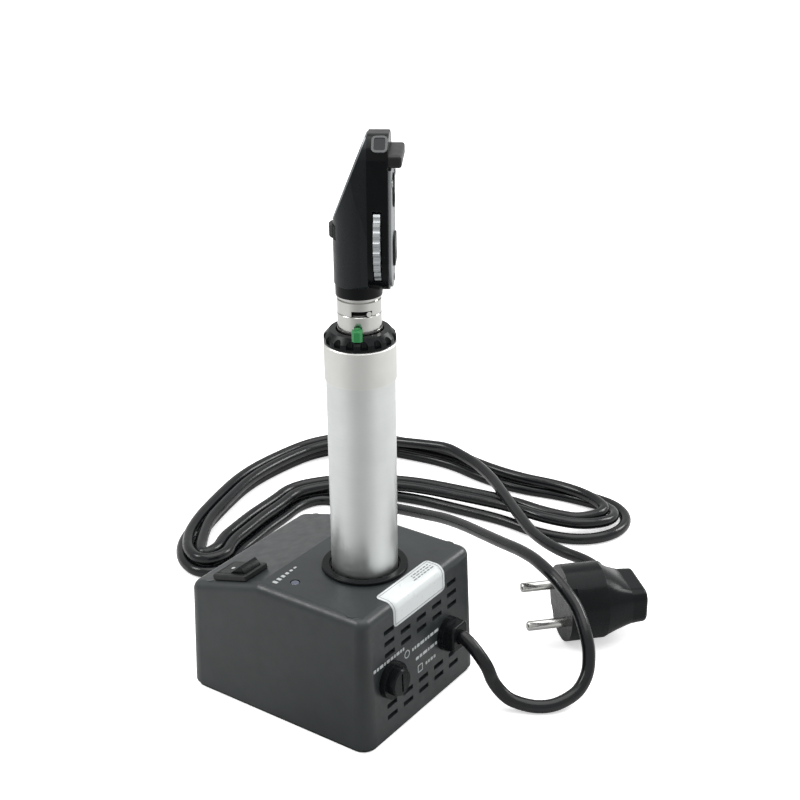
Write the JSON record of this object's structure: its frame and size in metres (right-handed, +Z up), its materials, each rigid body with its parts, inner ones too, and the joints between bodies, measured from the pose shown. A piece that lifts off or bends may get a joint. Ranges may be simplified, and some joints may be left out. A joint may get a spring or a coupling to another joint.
{
  "type": "ophthalmoscope with charging base",
  "caption": "Direct ophthalmoscope with lens dial and slanted head on a battery handle, standing in a corded desk charging base.",
  "frame": {"origin": "on the ground under the middle of the charging base's footprint", "axes": "+Z up; -Y the sloping front of the base with the rocker switch; +Y the rear panel with fuse and cord"},
  "size_m": [0.2719, 0.2817, 0.2641],
  "materials": {
    "housing_plastic": "fine-grained moulding",
    "satin_plastic": "satin",
    "head_plastic": "semi-gloss",
    "black_plastic": "matte",
    "rubber": "matte",
    "cord_sheath": "satin",
    "label_paper": "semi-gloss",
    "lamp_lens": "diffuse",
    "tube_aluminium": "brushed",
    "satin_metal": "satin",
    "bright_nickel": "polished",
    "steel": "plain",
    "brass": "plain",
    "green_plastic": "gloss",
    "plate_metal": "satin",
    "dial_metal": "satin",
    "clear_glass": "clear",
    "mirror_glass": "polished",
    "copper_winding": "taped",
    "core_steel": "laminated",
    "board_laminate": "solder mask",
    "cell_jacket": "shrink sleeve",
    "component_black": "moulded"
  },
  "bodies": {
    "base": {"base_housing": "housing_plastic", "bottom_plate": "housing_plastic", "rubber_feet": "rubber", "base_screws": "steel", "charging_well": "black_plastic", "well_ring": "satin_plastic", "well_contact": "brass", "contact_spring": "steel", "switch_frame": "black_plastic", "rocker_pivot": "steel", "switch_terminals": "brass", "charge_lamp": "lamp_lens", "fuse_holder": "satin_plastic", "cable_gland": "satin_plastic", "power_cord": "cord_sheath", "plug_body": "satin_plastic", "plug_pins": "bright_nickel", "earth_clips": "bright_nickel", "transformer_core": "core_steel", "transformer_coil": "copper_winding", "circuit_board": "board_laminate", "board_screws": "steel", "filter_capacitor": "component_black", "charge_regulator": "component_black", "rating_label": "label_paper"},
    "rocker": {"switch_rocker": "satin_plastic"},
    "fuse_carrier": {"fuse_cap": "satin_plastic", "glass_fuse": "clear_glass"},
    "handle": {"battery_tube": "tube_aluminium", "end_cap": "satin_metal", "end_contact": "brass", "battery_spring": "steel", "battery_cell": "cell_jacket", "charge_board": "board_laminate", "handle_collar": "satin_metal", "neck": "bright_nickel", "neck_insulator": "black_plastic", "head_contact": "brass"},
    "rheostat": {"rheostat_ring": "satin_plastic", "button_spring": "steel"},
    "button": {"lock_button": "green_plastic"},
    "head": {"head_socket": "bright_nickel", "head_housing": "head_plastic", "front_cover": "head_plastic", "front_window": "clear_glass", "face_plate": "plate_metal", "sight_bezel": "black_plastic", "readout_bezel": "black_plastic", "brow_rest": "rubber", "dial_axle": "steel", "optics_barrel": "black_plastic", "condenser_lens": "clear_glass", "objective_lens": "clear_glass", "mirror_block": "mirror_glass", "lamp_base": "brass", "lamp_bulb": "clear_glass", "head_screws": "steel"},
    "dial": {"lens_dial": "dial_metal", "corrective_lenses": "clear_glass"},
    "aperture": {"aperture_wheel": "black_plastic"}
  },
  "joints": [
    {"name": "handle_lift", "type": "slide", "parent": "base", "child": "handle", "axis": [0, 0, 1], "range_m": [0, 0.06]},
    {"name": "switch_rock", "type": "hinge", "parent": "base", "child": "rocker", "pos_m": [0.0315, -0.02757, 0.06028], "axis": [-1, 0, 0], "range_deg": [0, 26]},
    {"name": "fuse_turn", "type": "hinge", "parent": "base", "child": "fuse_carrier", "pos_m": [0.025, 0.05095, 0.02998], "axis": [0, -0.9994, -0.0349], "range_deg": [0, 90]},
    {"name": "rheostat_turn", "type": "hinge", "parent": "handle", "child": "rheostat", "pos_m": [0, 0.0194, 0.178], "axis": [0, 0, 1], "range_deg": [0, 110]},
    {"name": "button_press", "type": "slide", "parent": "rheostat", "child": "button", "axis": [-0.8508, -0.5255, 0], "range_m": [0, 0.0009]},
    {"name": "head_twist", "type": "hinge", "parent": "handle", "child": "head", "pos_m": [0, 0.0194, 0.19], "axis": [0, 0, 1], "range_deg": [0, 36]},
    {"name": "lens_dial_turn", "type": "hinge", "parent": "head", "child": "dial", "pos_m": [-0.0047, 0.02702, 0.2203], "axis": [-0.5255, 0.8508, 0], "continuous": true},
    {"name": "aperture_turn", "type": "hinge", "parent": "head", "child": "aperture", "pos_m": [0.00247, 0.0154, 0.2234], "axis": [0, 0, 1], "continuous": true}
  ]
}
